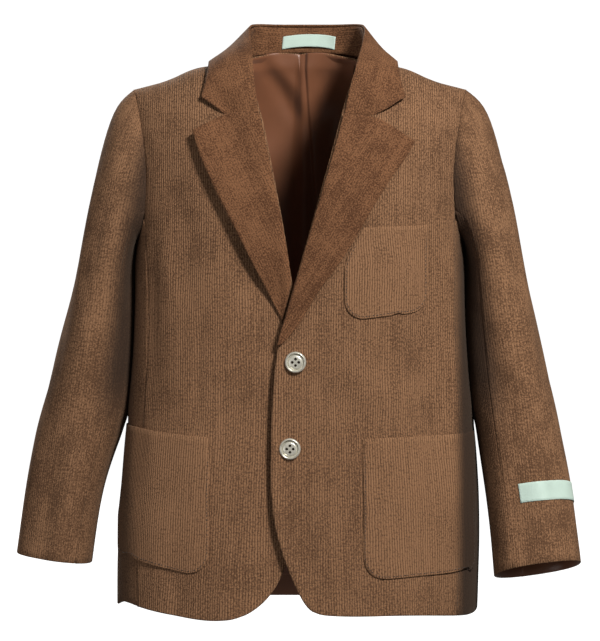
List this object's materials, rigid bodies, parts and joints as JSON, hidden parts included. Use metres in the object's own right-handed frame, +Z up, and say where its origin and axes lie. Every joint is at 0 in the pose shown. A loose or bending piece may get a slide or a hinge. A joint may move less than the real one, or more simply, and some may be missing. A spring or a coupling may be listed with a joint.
{
  "type": "corduroy blazer",
  "caption": "Boy's corduroy blazer, filled out with no wearer: notched lapels, patch pockets, buttoned front, two-piece sleeves and an open, satin-lined back neck.",
  "frame": {"origin": "middle of the neck opening, level with the inner ends of the shoulders, where the wearer carries the blazer", "axes": "+Z up, -Y out of the chest, +X towards the wearer's left"},
  "size_m": [0.5414, 0.1848, 0.5728],
  "materials": {
    "corduroy": "fine-wale corduroy with a brushed, mottled nap",
    "lining": "smooth brown satin",
    "label": "woven satin ribbon, blank",
    "button": "pearly grey, polished"
  },
  "bodies": {
    "root": {"front_left": "corduroy", "front_right": "corduroy", "side_left": "corduroy", "side_right": "corduroy", "back_left": "corduroy", "back_right": "corduroy", "back_lining": "lining", "lapel_left": "corduroy", "lapel_right": "corduroy", "collar_fall": "corduroy", "collar_stand": "corduroy", "top_sleeve_left": "corduroy", "top_sleeve_right": "corduroy", "under_sleeve_left": "corduroy", "under_sleeve_right": "corduroy", "pocket_breast": "corduroy", "pocket_hip_left": "corduroy", "pocket_hip_right": "corduroy", "neck_label": "label", "sleeve_label": "label", "button_top": "button", "button_bottom": "button"}
  },
  "joints": []
}
